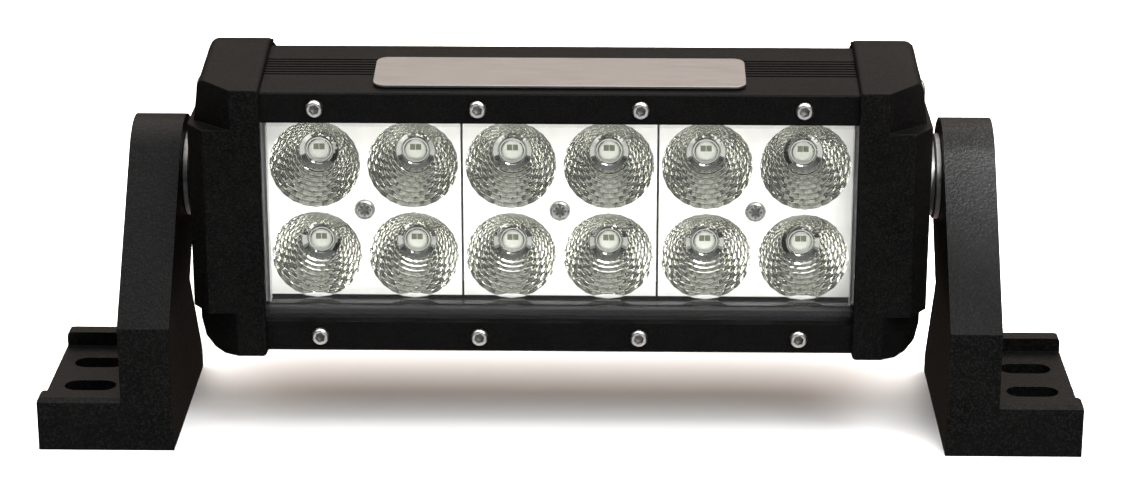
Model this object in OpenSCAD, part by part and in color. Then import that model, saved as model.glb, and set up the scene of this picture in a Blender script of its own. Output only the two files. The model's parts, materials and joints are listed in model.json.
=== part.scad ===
// LED light bar: two rows of LEDs in a finned aluminium head, tilting between two cast foot brackets.
// Millimetres. +X to the right, +Y to the back, +Z up. The origin lies on the mounting surface,
// half way between the two feet and at the middle of the depth.

/* [LED array] */
// Distance between LED columns and across one reflector cup
led_pitch = 25.4; // [25:0.1:26]
// Distance between the two LED rows
row_gap = 24.9; // [24.7:0.1:25.3]
// Radius of a reflector cup at its rim
cup_rim_r = 11.8; // [11:0.1:11.9]
// Radius of the opening at the bottom of a cup
cup_base_r = 3.9; // [3.7:0.1:4.5]
// Depth of a cup from its rim to the LED board
cup_depth = 12.7; // [12:0.1:12.7]

/* [Head] */
// Width between the visible inner edges of the end caps
window_w = 152; // [152:0.5:153]
// Overall width of the head across both side pads
head_w = 190.6; // [190:0.1:191]
// Height of the head along its front edges
front_h = 70; // [70:0.5:72]
// Depth of the head from the bezel's face to the tips of the rear fins
head_d = 74; // [74:0.5:80]
// Rise of the top and bottom faces per millimetre of depth
crown_slope = 0.12; // [0.1:0.01:0.14]
// Radius where the top face turns down towards the back
crown_r = 14; // [12:1:16]
// Height of one bezel strip
strip_h = 8; // [7.5:0.5:8]
// Depth of the front faces of the reflectors behind the bezel's face
plate_y = 11.3; // [11.1:0.1:11.4]

/* [Mounting] */
// Height of the tilt axis above the mounting surface
pivot_z = 62; // [61:1:70]
// Distance between the inner faces of the two brackets
bracket_gap = 202; // [201:0.5:204]
// Width of one foot, from its inner to its outer side
foot_w = 35.6; // [34:0.1:40]
// Depth of the bracket's inner wall, which carries the arm
foot_d = 60; // [58:1:62]
// Depth of the slotted channel on the outer side
channel_d = 54; // [52:1:56]
// Thickness of the bracket's arm
arm_t = 13.6; // [13:0.1:14]
// Radius of the arm's round top
arm_r = 15.8; // [15:0.1:17]
// Width of a mounting slot
slot_w = 7; // [6.6:0.1:8]
// End to end length of a mounting slot
slot_l = 13.7; // [12:0.1:14]
// Distance between the two slots of one foot
slot_gap = 16.5; // [15:0.5:18]

/* [Hidden] */
$fn = 64;

// colours
powder_black = [0.07, 0.07, 0.07];
satin_silver = [0.78, 0.78, 0.79];
steel = [0.7, 0.7, 0.7];
bright_chrome = [0.88, 0.88, 0.9];
clear_lens = [0.85, 0.92, 0.95, 0.3];
silicone = [0.15, 0.15, 0.16];
board_white = [0.9, 0.9, 0.88];
board_green = [0.05, 0.3, 0.15];
phosphor = [0.8, 0.8, 0.45];
nylon = [0.1, 0.1, 0.1];
brass = [0.75, 0.6, 0.3];

// head frame: y counts back from the bezel's face, z up and down from the tilt axis' height
face_y = -36;
pivot_y = 42;
eps = 0.01;
gap = 0.2;

// head section
front_z = front_h / 2;
strip_t = 3;
strip_z = front_z - strip_h;
crown_a = atan(crown_slope);
crown_start = 28;
crown_start_z = front_z + crown_slope * crown_start;
crown_cy = crown_start + crown_r * sin(crown_a);
crown_cz = crown_start_z - crown_r * cos(crown_a);
rear_a = 24;
rear_start_y = crown_cy + crown_r * sin(rear_a);
rear_start_z = crown_cz + crown_r * cos(rear_a);
rear_end_z = rear_start_z - (head_d - rear_start_y) * tan(rear_a);

// length of the pieces of the head, as half widths
cap_edge_x = window_w / 2;
pad_x = head_w / 2;
pad_t = 1.4;
cap_x = pad_x - pad_t;
gasket_t = 1;
cap_wall_x = cap_x - 5.9;
housing_x = cap_wall_x - gasket_t;
cap_lip = 2;
rear_lip = 4.4;

// window, lens and seal
lens_z = 29;
lens_x = 79;
lens_t = 3;
skirt_t = 2;
seal_t = 2;
seat_y = strip_t + lens_t + seal_t;
chamber_z = 25.4;

// LED stack behind the reflectors
module_w = 2 * led_pitch;
module_face_w = module_w - 0.6;
module_face_h = 47;
plate_t = 1.5;
led_y = plate_y + cup_depth + 0.3;
board_t = 1.6;
pad_film_t = 0.4;
web_y = led_y + board_t + pad_film_t;
web_t = 3.2;
board_x = 75.6;
board_z = 24.4;

// rear cavity and fins
cavity_y = web_y + web_t;
cavity_end_y = 49;
cavity_z = 22.5;
rear_wall_t = 3.5;
fin_root_y = cavity_end_y + rear_wall_t;
back_slot_w = 4;
back_slot_pitch = 6.2;
crown_slot_w = 3;
crown_slot_d = 7;
crown_slot_ys = [41 : 5.5 : 68];
groove_pitch = 1.6;
groove_ys = [11.6 : groove_pitch : 22.4];

// fasteners
m25_r = 1.25;
m3_r = 1.5;
m4_r = 2;
thread_gap = 0.02;
bezel_screw_z = 30.9;
bezel_screw_pitch = 41.4;
bezel_screw_xs = [-1.5, -0.5, 0.5, 1.5] * bezel_screw_pitch;
cap_screw_yz = [[15, 31], [15, -31], [60, 11.8], [60, -11.8]];

// driver
driver_y = cavity_y + 3.5;
driver_top_y = driver_y + 1.6;
driver_x0 = -58;
driver_x1 = 46;
driver_z = 20;
standoff_xz = [[-53, 15], [-53, -15], [41, 15], [41, -15]];
lead_x = 70;
lead_r = 0.8;
lead_bend = 4;
lead_z = 1.3;

// cable gland and breather on the back
gland_r = 6;
gland_pocket_r = 12;
cable_r = 3.2;
vent_x = 36;
vent_r = 3;
vent_pocket_r = 8;

// nameplate on the top face
plate_len = 95;
plate_wid = 18.4;
name_y = 2.9;
name_t = 0.8;
adhesive_t = 0.2;
name_r = 3;

// brackets
foot_front = -40;
foot_x0 = bracket_gap / 2;
foot_x1 = foot_x0 + foot_w;
arm_x1 = foot_x0 + arm_t;
floor_t = 10.6;
lip_h = 14.5;
lip_t = 5.8;
slot_x = (arm_x1 + foot_x1) / 2;
slot_mid_y = foot_front + channel_d / 2 + 0.4;
knee_z = 34;
bolt_r = 4;
pivot_gap = 0.06;
recess_r = 9.5;
recess_d = 7;
arm_axis = [face_y + pivot_y, pivot_z];

// ---- helpers -------------------------------------------------------------

// moves the head frame to the row frame
module head_frame() {
    translate([0, face_y, pivot_z]) children();
}

// extrudes a (y, z) outline along X from x0 to x1
module along_x(x0, x1) {
    translate([x0, 0, 0]) rotate([90, 0, 90]) linear_extrude(x1 - x0) children();
}

// a cylinder along +Y from y0 to y1
module rod_y(x, y0, y1, z, r) {
    translate([x, y0, z]) rotate([-90, 0, 0]) cylinder(h = y1 - y0, r = r);
}

// a cylinder along +X from x0 to x1
module rod_x(x0, x1, y, z, r) {
    translate([x0, y, z]) rotate([0, 90, 0]) cylinder(h = x1 - x0, r = r);
}

// a box given by its two corners
module box(low, high) {
    translate(low) cube(high - low);
}

module mirror_x() {
    mirror([1, 0, 0]) children();
}

// the upper edge of the head's section, grown outwards by g, and by half of g at the front edge
function crown(g) = concat(
    [[-g, front_z + g / 2]],
    [for (a = [-crown_a : (crown_a + rear_a) / 8 : rear_a + 0.001])
        [crown_cy + (crown_r + g) * sin(a), crown_cz + (crown_r + g) * cos(a)]],
    [[head_d + g, rear_end_z + g * (1 - sin(rear_a)) / cos(rear_a)]]);

function mirrored(points) = [for (i = [len(points) - 1 : -1 : 0]) [points[i][0], -points[i][1]]];

function crown_z(y) = y < rear_start_y ? front_z + crown_slope * min(y, crown_start)
                                       : rear_start_z - (y - rear_start_y) * tan(rear_a);

module section(g) {
    polygon(concat(crown(g), mirrored(crown(g))));
}

// ---- head: housing -------------------------------------------------------

module housing_section() {
    difference() {
        section(0);
        // room for the bezel strips on the front
        translate([-1, -50]) square([1 + strip_t, 100]);
        // seat for the lens and its seal
        translate([0, -lens_z - 0.3]) square([seat_y, 2 * lens_z + 0.6]);
        // chamber for the reflectors and the LED board
        translate([0, -chamber_z]) square([web_y, 2 * chamber_z]);
        // rear cavity for the driver
        translate([cavity_y, -cavity_z]) square([cavity_end_y - cavity_y, 2 * cavity_z]);
        // slots between the fins on the back
        for (i = [-1 : 1])
            translate([fin_root_y, i * back_slot_pitch - back_slot_w / 2])
                square([head_d, back_slot_w]);
        for (m = [0, 1]) mirror([0, m]) {
            for (y = crown_slot_ys)
                translate([y, crown_z(y) - crown_slot_d]) square([crown_slot_w, 20]);
            for (y = groove_ys)
                translate([y, crown_z(y) - 0.6]) square([0.7, 5]);
        }
        for (p = cap_screw_yz)
            translate(p) circle(r = m4_r + thread_gap);
    }
}

module housing() color(powder_black) head_frame() difference() {
    along_x(-housing_x, housing_x) housing_section();
    for (x = bezel_screw_xs, s = [-1, 1])
        rod_y(x, strip_t - 1, strip_t + 9, s * bezel_screw_z, m25_r + thread_gap);
    for (i = [-1 : 1])
        rod_y(i * module_w, web_y - 1, cavity_y + 1, 0, m3_r + thread_gap);
    for (p = standoff_xz)
        rod_y(p[0], web_y + 0.6, cavity_y + 1, p[1], m3_r + thread_gap);
    rod_y(lead_x, web_y - 1, cavity_y + 1, 0, 3);
    rod_y(0, cavity_end_y - 1, fin_root_y + 1, 0, gland_r + thread_gap);
    rod_y(0, fin_root_y, head_d + 1, 0, gland_pocket_r);
    rod_y(vent_x, cavity_end_y - 1, fin_root_y + 1, 0, vent_r + thread_gap);
    rod_y(vent_x, fin_root_y, head_d + 1, 0, vent_pocket_r);
}

// ---- head: end caps ------------------------------------------------------

// plan outline of a cap with its chamfered corners and its wider lip behind the crown
module cap_plan(x1, front_x, front_y) {
    polygon([[cap_edge_x, -3], [front_x, -3], [front_x, -cap_lip], [x1, front_y],
             [x1, head_d - 6], [x1 - 6, head_d + 3], [cap_edge_x - rear_lip, head_d + 3],
             [cap_edge_x - rear_lip, crown_start + 6], [cap_edge_x, crown_start + 1]]);
}

// front outline of a cap, leaning in above and below the side pad
module cap_front() {
    polygon([[cap_edge_x, 45], [cap_x - 2.2, 45], [cap_x - 1.8, crown_start_z],
             [cap_x, 25.4], [cap_x, -28.6], [cap_x - 1.2, -33.2], [cap_x - 3.8, -35.6],
             [cap_x - 8, -36.9], [cap_x - 13, -45], [cap_edge_x, -45]]);
}

// corner behind a cap's front chamfer: solid in the cap, cut off the strips
module corner_wedge(x) {
    translate([0, 0, -60]) linear_extrude(120)
        polygon([[x - 6.4, -1.05], [x, -1.05], [x, 4.43]]);
}

module end_cap_right() color(powder_black) head_frame() difference() {
    union() {
        intersection() {
            along_x(cap_edge_x - rear_lip, cap_x) section(cap_lip);
            translate([0, 0, -60]) linear_extrude(120) cap_plan(cap_x, cap_x - 10.4, 6.9);
            translate([0, 100, 0]) rotate([90, 0, 0]) linear_extrude(120) cap_front();
        }
        // raised side pad
        intersection() {
            box([cap_edge_x, -cap_lip, -24.2], [pad_x, head_d - 8, 25.4]);
            translate([0, 0, -60]) linear_extrude(120) cap_plan(pad_x, pad_x - 4.6, 4.4);
        }
    }
    difference() {
        along_x(cap_edge_x - rear_lip - 1, cap_wall_x) section(gap);
        // boss that takes the pivot bolt's thread
        rod_x(cap_wall_x - 8, cap_wall_x + 1, pivot_y, 0, 6.8);
        corner_wedge(cap_wall_x + 1);
    }
    rod_x(cap_wall_x - 6.5, pad_x + 1, pivot_y, 0, bolt_r + thread_gap);
    for (p = cap_screw_yz) {
        rod_x(cap_wall_x - 1, pad_x + 1, p[0], p[1], m4_r + 0.3);
        rod_x(cap_x - 2.6, pad_x + 1, p[0], p[1], 4.2);
    }
}

module end_cap_left() mirror_x() end_cap_right();

module cap_gasket_right() color(silicone) head_frame()
    along_x(housing_x, cap_wall_x) difference() {
        intersection() {
            section(-1.2);
            translate([strip_t + 0.5, -50]) square([fin_root_y - strip_t - 1, 100]);
        }
        translate([seat_y + 0.5, -chamber_z - 0.6])
            square([cavity_end_y + 0.2 - seat_y, 2 * chamber_z + 1.2]);
        for (p = cap_screw_yz) translate(p) circle(r = m4_r + 0.4);
    }

module cap_gasket_left() mirror_x() cap_gasket_right();

// pan head screw along -X with its head's seat at x
module cap_screw(x, p) {
    difference() {
        union() {
            rod_x(x - 16, x, p[0], p[1], m4_r);
            rod_x(x, x + 1.6, p[0], p[1], 3.8);
            translate([x + 1.6, p[0], p[1]]) rotate([0, 90, 0])
                cylinder(h = 0.8, r1 = 3.8, r2 = 2.8);
        }
        translate([x + 1, p[0], p[1]]) rotate([0, 90, 0]) cylinder(h = 3, r = 1.45, $fn = 6);
    }
}

module cap_screws_right() color(steel) head_frame()
    for (p = cap_screw_yz) cap_screw(cap_x - 2.6, p);

module cap_screws_left() mirror_x() cap_screws_right();

// ---- head: window --------------------------------------------------------

module bezel_strip_top() color(powder_black) head_frame() difference() {
    along_x(-housing_x, housing_x)
        polygon([[0, strip_z], [0, front_z - 0.4], [0.4, front_z],
                 [strip_t, front_z + crown_slope * strip_t], [strip_t, strip_z]]);
    for (x = bezel_screw_xs)
        rod_y(x, -1, strip_t + 1, bezel_screw_z, m25_r + 0.15);
    corner_wedge(cap_wall_x + 0.6);
    mirror([1, 0, 0]) corner_wedge(cap_wall_x + 0.6);
}

module bezel_strip_bottom() translate([0, 0, 2 * pivot_z]) mirror([0, 0, 1]) bezel_strip_top();

module bezel_screw(x, z) {
    translate([x, 0, z]) rotate([90, 0, 0]) difference() {
        union() {
            rotate_extrude() polygon([[0, 0], [2.3, 0], [2.3, 0.35], [2.05, 0.85],
                                      [1.6, 1.2], [1.1, 1.35], [0, 1.35]]);
            translate([0, 0, -11]) cylinder(h = 11 + eps, r = m25_r);
        }
        translate([0, 0, 0.4]) cylinder(h = 3, r = 0.9, $fn = 6);
    }
}

module bezel_screws() color(steel) head_frame()
    for (x = bezel_screw_xs, s = [-1, 1]) bezel_screw(x, s * bezel_screw_z);

// clear tray: a pane with a skirt that reaches back to the reflectors
module lens() color(clear_lens) head_frame() difference() {
    union() {
        box([-lens_x, strip_t, -lens_z], [lens_x, strip_t + lens_t, lens_z]);
        box([-cap_edge_x - 1.6, strip_t, -chamber_z + 0.2],
            [cap_edge_x + 1.6, plate_y - 0.3, chamber_z - 0.2]);
    }
    box([-cap_edge_x + 0.4, strip_t + lens_t, -chamber_z + 0.2 + skirt_t / 2],
        [cap_edge_x - 0.4, plate_y + 1, chamber_z - 0.2 - skirt_t / 2]);
}

module lens_gasket() color(silicone) head_frame() difference() {
    box([-lens_x, strip_t + lens_t, -lens_z], [lens_x, seat_y, lens_z]);
    box([-cap_edge_x - 1.6, strip_t, -chamber_z + 0.2],
        [cap_edge_x + 1.6, seat_y + 1, chamber_z - 0.2]);
}

// ---- head: reflectors and LEDs -------------------------------------------

// the cup's inner wall as a parabola between its base and its rim
function cup_r(t) = sqrt(cup_base_r * cup_base_r + t * (cup_rim_r * cup_rim_r - cup_base_r * cup_base_r));

module cup(wall, over) {
    steps = 5;
    rotate_extrude() polygon(concat(
        [[0, -over]],
        [for (i = [0 : steps]) [cup_r(i / steps) + wall, (i == 0 ? -over : cup_depth * i / steps)]],
        [[cup_rim_r + wall, cup_depth + over], [0, cup_depth + over]]));
}

module reflector(n) color(bright_chrome) head_frame() translate([n * module_w, 0, 0]) difference() {
    union() {
        box([-module_face_w / 2, plate_y, -module_face_h / 2],
            [module_face_w / 2, plate_y + plate_t, module_face_h / 2]);
        for (i = [-0.5, 0.5], k = [-0.5, 0.5])
            translate([i * led_pitch, plate_y + cup_depth, k * row_gap]) rotate([90, 0, 0])
                cup(0.5, 0);
        rod_y(0, plate_y + plate_t - 0.2, led_y, 0, 3.6);
    }
    for (i = [-0.5, 0.5], k = [-0.5, 0.5])
        translate([i * led_pitch, plate_y + cup_depth, k * row_gap]) rotate([90, 0, 0])
            cup(0, 1);
    rod_y(0, plate_y - 1, led_y + 1, 0, m3_r + 0.2);
    rod_y(0, plate_y - 1, plate_y + 0.6, 0, 2.75);
}

module reflector_left() reflector(-1);
module reflector_centre() reflector(0);
module reflector_right() reflector(1);

module reflector_screws() color(steel) head_frame()
    for (i = [-1 : 1]) difference() {
        union() {
            rod_y(i * module_w, plate_y + 0.6, web_y + 3, 0, m3_r);
            rod_y(i * module_w, plate_y - 0.6, plate_y + 0.6, 0, 2.6);
            translate([i * module_w, plate_y - 0.6, 0]) rotate([90, 0, 0])
                cylinder(h = 0.6, r1 = 2.6, r2 = 1.9);
        }
        box([i * module_w - 1.3, plate_y - 2, -0.3], [i * module_w + 1.3, plate_y - 0.2, 0.3]);
        box([i * module_w - 0.3, plate_y - 2, -1.3], [i * module_w + 0.3, plate_y - 0.2, 1.3]);
    }

module led_board() color(board_white) head_frame() difference() {
    box([-board_x, led_y, -board_z], [board_x, led_y + board_t, board_z]);
    for (i = [-1 : 1])
        rod_y(i * module_w, led_y - 1, led_y + board_t + 1, 0, m3_r + 0.2);
    rod_y(lead_x, led_y - 1, led_y + board_t + 1, 0, 2.6);
}

module each_led() {
    for (i = [-2.5 : 2.5], k = [-0.5, 0.5])
        translate([i * led_pitch, led_y, k * row_gap]) rotate([90, 0, 0]) children();
}

module led_packages() color(board_white) head_frame()
    each_led() translate([-2.5, -2.5, 0]) cube([5, 5, 0.7]);

module led_domes() color(phosphor) head_frame()
    each_led() translate([0, 0, 0.7]) rotate_extrude(angle = 360) intersection() {
        circle(r = 2.15);
        square([3, 3]);
    }

module thermal_pad() color([0.6, 0.65, 0.75]) head_frame() difference() {
    box([-board_x, led_y + board_t, -board_z], [board_x, web_y, board_z]);
    for (i = [-1 : 1])
        rod_y(i * module_w, led_y, web_y + 1, 0, m3_r + 0.2);
    rod_y(lead_x, led_y, web_y + 1, 0, 2.6);
}

// ---- head: driver --------------------------------------------------------

module driver_board() color(board_green) head_frame() difference() {
    box([driver_x0, driver_y, -driver_z], [driver_x1, driver_top_y, driver_z]);
    for (p = standoff_xz) rod_y(p[0], driver_y - 1, driver_top_y + 1, p[1], m3_r + 0.1);
}

module driver_standoffs() color(brass) head_frame()
    for (p = standoff_xz) difference() {
        rod_y(p[0], cavity_y, driver_y, p[1], 2.8);
        rod_y(p[0], cavity_y - 1, driver_y + 1, p[1], m3_r + 0.1);
    }

module driver_screws() color(steel) head_frame()
    for (p = standoff_xz) difference() {
        union() {
            rod_y(p[0], cavity_y - 2, driver_top_y, p[1], m3_r);
            rod_y(p[0], driver_top_y, driver_top_y + 2, p[1], 2.75);
        }
        translate([p[0], driver_top_y + 3, p[1]]) rotate([90, 0, 0])
            cylinder(h = 2.2, r = 1.3, $fn = 6);
    }

module driver_inductor() color([0.2, 0.2, 0.22]) head_frame() {
    translate([-27, driver_top_y, 0]) rotate([-90, 0, 0]) rotate_extrude()
        polygon([[0, 0], [8.5, 0], [8.5, 1.8], [7, 2.4], [7, 7], [8.5, 7.6], [8.5, 9.4], [0, 9.4]]);
}

module driver_capacitors() color([0.12, 0.12, 0.3]) head_frame()
    for (x = [-45, 20], z = [-11, 5]) rod_y(x, driver_top_y, driver_top_y + 9, z, 4.6);

module driver_chips() color(nylon) head_frame() {
    for (p = [[-9, 12, 6, 4.9], [-9, -12, 6, 4.9], [4, 13, 3.9, 4.9], [30, -12, 7.6, 6.1]])
        box([p[0] - p[2] / 2, driver_top_y, p[1] - p[3] / 2],
            [p[0] + p[2] / 2, driver_top_y + 1.7, p[1] + p[3] / 2]);
}

module driver_terminals() color([0.1, 0.35, 0.2]) head_frame() difference() {
    box([37, driver_top_y, -5.2], [45, driver_top_y + 8, 5.2]);
    for (z = [-1, 1] * lead_z) rod_x(40.5, 46, driver_top_y + 3.8, z, lead_r + 0.1);
}

// two leads from the LED board through the web and round to the driver's terminals
module led_leads() color([0.6, 0.1, 0.1]) head_frame()
    for (z = [-1, 1] * lead_z) {
        end_y = driver_top_y + 3.8;
        rod_y(lead_x, led_y - 0.6, end_y - lead_bend + eps, z, lead_r);
        translate([lead_x - lead_bend, end_y - lead_bend, z])
            rotate_extrude(angle = 90) translate([lead_bend, 0]) circle(r = lead_r);
        rod_x(41, lead_x - lead_bend + eps, end_y, z, lead_r);
    }

module lead_grommet() color(silicone) head_frame() difference() {
    union() {
        rod_y(lead_x, web_y, cavity_y, 0, 3);
        rod_y(lead_x, cavity_y, cavity_y + 1.5, 0, 4.4);
    }
    for (z = [-1, 1] * lead_z) rod_y(lead_x, web_y - 1, cavity_y + 3, z, lead_r + 0.02);
}

// ---- head: cable gland, breather, nameplate ------------------------------

module gland_body() color(nylon) head_frame() difference() {
    union() {
        rod_y(0, cavity_end_y - 5.5, fin_root_y, 0, gland_r);
        translate([0, fin_root_y, 0]) rotate([-90, 0, 0]) cylinder(h = 4.5, r = 9.2, $fn = 6);
        rod_y(0, fin_root_y + 4.5, fin_root_y + 12, 0, 6.6);
    }
    rod_y(0, cavity_end_y - 6, fin_root_y + 4, 0, cable_r + 0.8);
    rod_y(0, fin_root_y + 3.9, fin_root_y + 13, 0, 5.4);
}

module gland_seal() color(silicone) head_frame() difference() {
    rod_y(0, fin_root_y + 4, fin_root_y + 16, 0, 5.4);
    rod_y(0, fin_root_y + 3, fin_root_y + 17, 0, cable_r);
}

module gland_nut() color(nylon) head_frame() difference() {
    union() {
        translate([0, fin_root_y + 5, 0]) rotate([-90, 0, 0]) cylinder(h = 7, r = 9.2, $fn = 6);
        translate([0, fin_root_y + 12, 0]) rotate([-90, 0, 0]) rotate_extrude()
            polygon([[0, 0], [8.4, 0], [8.2, 3], [7.4, 5.6], [5.8, 7.2], [0, 7.2]]);
    }
    rod_y(0, fin_root_y + 4, fin_root_y + 12 + eps, 0, 6.6 + thread_gap);
    rod_y(0, fin_root_y + 12, fin_root_y + 16, 0, 5.4 + thread_gap);
    rod_y(0, fin_root_y + 15, fin_root_y + 21, 0, cable_r + 0.6);
}

module gland_locknut() color(nylon) head_frame() difference() {
    translate([0, cavity_end_y - 4, 0]) rotate([-90, 0, 0]) cylinder(h = 4, r = 9.2, $fn = 6);
    rod_y(0, cavity_end_y - 5, cavity_end_y + 1, 0, gland_r + thread_gap);
}

module breather_vent() color(nylon) head_frame() difference() {
    union() {
        rod_y(vent_x, cavity_end_y - 2, fin_root_y, 0, vent_r);
        rod_y(vent_x, fin_root_y, fin_root_y + 1.4, 0, 5.6);
        rod_y(vent_x, fin_root_y + 1.4, fin_root_y + 4.6, 0, 5);
    }
    rod_y(vent_x, cavity_end_y - 3, fin_root_y + 2.4, 0, 1.2);
    for (a = [0 : 60 : 300])
        translate([vent_x, fin_root_y + 2.4, 0]) rotate([0, a, 0])
            rod_x(0, 6, 0, 0, 0.6);
}

// a flat plate with round corners, low side first, on the sloping top face
module on_top(lift, thick, inset) {
    length = plate_len - 2 * inset;
    width = plate_wid - 2 * inset;
    r = name_r - inset;
    translate([0, name_y, front_z + crown_slope * name_y]) rotate([crown_a, 0, 0])
        translate([0, plate_wid / 2, lift]) {
            translate([-length / 2 + r, -width / 2, 0]) cube([length - 2 * r, width, thick]);
            translate([-length / 2, -width / 2 + r, 0]) cube([length, width - 2 * r, thick]);
            for (x = [-1, 1], y = [-1, 1])
                translate([x * (length / 2 - r), y * (width / 2 - r), 0])
                    cylinder(h = thick, r = r);
        }
}

module nameplate() color(satin_silver) head_frame() on_top(adhesive_t, name_t, 0);

module nameplate_adhesive() color(silicone) head_frame() on_top(0, adhesive_t, 0.5);

// ---- brackets ------------------------------------------------------------

// side outline of the arm: a foot wall, a knee, and a bar leaning back to the round top
knee = [foot_front, knee_z];
to_top = arm_axis - knee;
tangent_a = atan2(to_top[1], to_top[0]) + asin(arm_r / norm(to_top));
bar_dir = [cos(tangent_a), sin(tangent_a)];
bar_out = [-bar_dir[1], bar_dir[0]];
back_knee_z = 33;
back_tangent = arm_axis - arm_r * bar_out;
back_knee = back_tangent + bar_dir * (back_knee_z - back_tangent[1]) / bar_dir[1];

module arm_section() {
    difference() {
        union() {
            polygon([[foot_front, 0], knee, arm_axis + arm_r * bar_out, arm_axis,
                     back_tangent, back_knee, [foot_front + foot_d - 1, 7],
                     [foot_front + foot_d, 5], [foot_front + foot_d, 0]]);
            translate(arm_axis) circle(r = arm_r);
        }
        translate(arm_axis) circle(r = bolt_r + pivot_gap);
    }
}

// a slot through the foot's floor, running along X
module foot_slot(x, y) {
    run = (slot_l - slot_w) / 2;
    for (s = [-1, 1]) translate([x + s * run, y, -1]) cylinder(h = floor_t + 2, r = slot_w / 2);
    box([x - run, y - slot_w / 2, -1], [x + run, y + slot_w / 2, floor_t + 1]);
}

module bracket_right() color(powder_black) difference() {
    union() {
        along_x(foot_x0, arm_x1) arm_section();
        along_x(arm_x1 - eps, foot_x1) polygon([
            [foot_front, 0], [foot_front, lip_h - 1.2], [foot_front + 1.2, lip_h],
            [foot_front + lip_t, lip_h], [foot_front + lip_t, floor_t],
            [foot_front + channel_d - lip_t, floor_t], [foot_front + channel_d - lip_t, lip_h],
            [foot_front + channel_d - 1.2, lip_h], [foot_front + channel_d, lip_h - 1.2],
            [foot_front + channel_d, 0]]);
    }
    // recess for the pivot bolt's head on the outer side
    rod_x(arm_x1 - recess_d, arm_x1 + 1, arm_axis[0], arm_axis[1], recess_r);
    for (s = [-0.5, 0.5]) foot_slot(slot_x, slot_mid_y + s * slot_gap);
}

module bracket_left() mirror_x() bracket_right();

// ---- pivots --------------------------------------------------------------

head_seat_x = arm_x1 - recess_d + 1.6;

module pivot_bolt_right() color(steel) head_frame() difference() {
    union() {
        rod_x(cap_wall_x - 6, head_seat_x, pivot_y, 0, bolt_r);
        translate([head_seat_x - eps, pivot_y, 0]) rotate([0, 90, 0]) rotate_extrude()
            polygon([[0, 0], [7, 0], [7, 1.4], [6.2, 3], [4.9, 4.1], [3.4, 4.5], [0, 4.5]]);
    }
    translate([head_seat_x + 1.8, pivot_y, 0]) rotate([0, 90, 0]) cylinder(h = 5, r = 2.9, $fn = 6);
}

module washer(x0, x1, r_in, r_out) {
    difference() {
        rod_x(x0, x1, pivot_y, 0, r_out);
        rod_x(x0 - 1, x1 + 1, pivot_y, 0, r_in);
    }
}

module bolt_washer_right() color(steel) head_frame()
    washer(arm_x1 - recess_d + 0.02, head_seat_x - eps, bolt_r + 0.2, 8.2);

module friction_spacer_right() color(nylon) head_frame()
    washer(pad_x, foot_x0 - 1.6, bolt_r + 0.2, 10.5);

module spacer_washer_right() color(steel) head_frame()
    washer(foot_x0 - 1.6, foot_x0 - 0.02, bolt_r + 0.2, 11.5);

module pivot_bolt_left() mirror_x() pivot_bolt_right();
module bolt_washer_left() mirror_x() bolt_washer_right();
module friction_spacer_left() mirror_x() friction_spacer_right();
module spacer_washer_left() mirror_x() spacer_washer_right();

housing();
end_cap_left();
end_cap_right();
cap_gasket_left();
cap_gasket_right();
cap_screws_left();
cap_screws_right();
bezel_strip_top();
bezel_strip_bottom();
bezel_screws();
lens();
lens_gasket();
reflector_left();
reflector_centre();
reflector_right();
reflector_screws();
led_board();
led_packages();
led_domes();
thermal_pad();
driver_board();
driver_standoffs();
driver_screws();
driver_inductor();
driver_capacitors();
driver_chips();
driver_terminals();
led_leads();
lead_grommet();
gland_body();
gland_seal();
gland_nut();
gland_locknut();
breather_vent();
nameplate();
nameplate_adhesive();
bracket_left();
bracket_right();
pivot_bolt_left();
pivot_bolt_right();
bolt_washer_left();
bolt_washer_right();
friction_spacer_left();
friction_spacer_right();
spacer_washer_left();
spacer_washer_right();
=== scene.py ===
"""Looks of the LED light bar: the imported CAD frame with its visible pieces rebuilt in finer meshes."""

import json
import math

import bmesh
import bpy
from mathutils import Matrix, Vector

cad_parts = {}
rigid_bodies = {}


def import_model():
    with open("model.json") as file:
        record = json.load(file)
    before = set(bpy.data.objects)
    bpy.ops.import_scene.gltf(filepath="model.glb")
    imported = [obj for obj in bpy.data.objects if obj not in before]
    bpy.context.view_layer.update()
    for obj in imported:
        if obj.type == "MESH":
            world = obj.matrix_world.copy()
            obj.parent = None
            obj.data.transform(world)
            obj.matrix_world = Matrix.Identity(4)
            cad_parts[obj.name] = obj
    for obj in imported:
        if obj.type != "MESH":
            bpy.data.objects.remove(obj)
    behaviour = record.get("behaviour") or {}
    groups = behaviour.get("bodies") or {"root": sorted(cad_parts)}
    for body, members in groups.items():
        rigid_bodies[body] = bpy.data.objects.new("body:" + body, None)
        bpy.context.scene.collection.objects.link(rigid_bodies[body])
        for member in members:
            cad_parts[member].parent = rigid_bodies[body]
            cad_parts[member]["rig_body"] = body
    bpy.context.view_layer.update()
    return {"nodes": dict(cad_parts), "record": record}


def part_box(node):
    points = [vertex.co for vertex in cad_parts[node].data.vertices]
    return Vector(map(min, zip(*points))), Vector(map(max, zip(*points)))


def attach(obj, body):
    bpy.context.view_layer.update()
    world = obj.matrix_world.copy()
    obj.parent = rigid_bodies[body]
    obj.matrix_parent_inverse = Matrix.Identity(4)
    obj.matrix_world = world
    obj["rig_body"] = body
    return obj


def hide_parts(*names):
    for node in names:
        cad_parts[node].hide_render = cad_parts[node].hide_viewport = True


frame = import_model()
NODES = frame["nodes"]

MM = 0.001
SIDES = {"left": -1, "right": 1}
MODULES = {"left": -1, "centre": 0, "right": 1}
SLOT_OF = {part["node"]: part["material_slot"] for part in frame["record"]["subparts"]}

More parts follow.
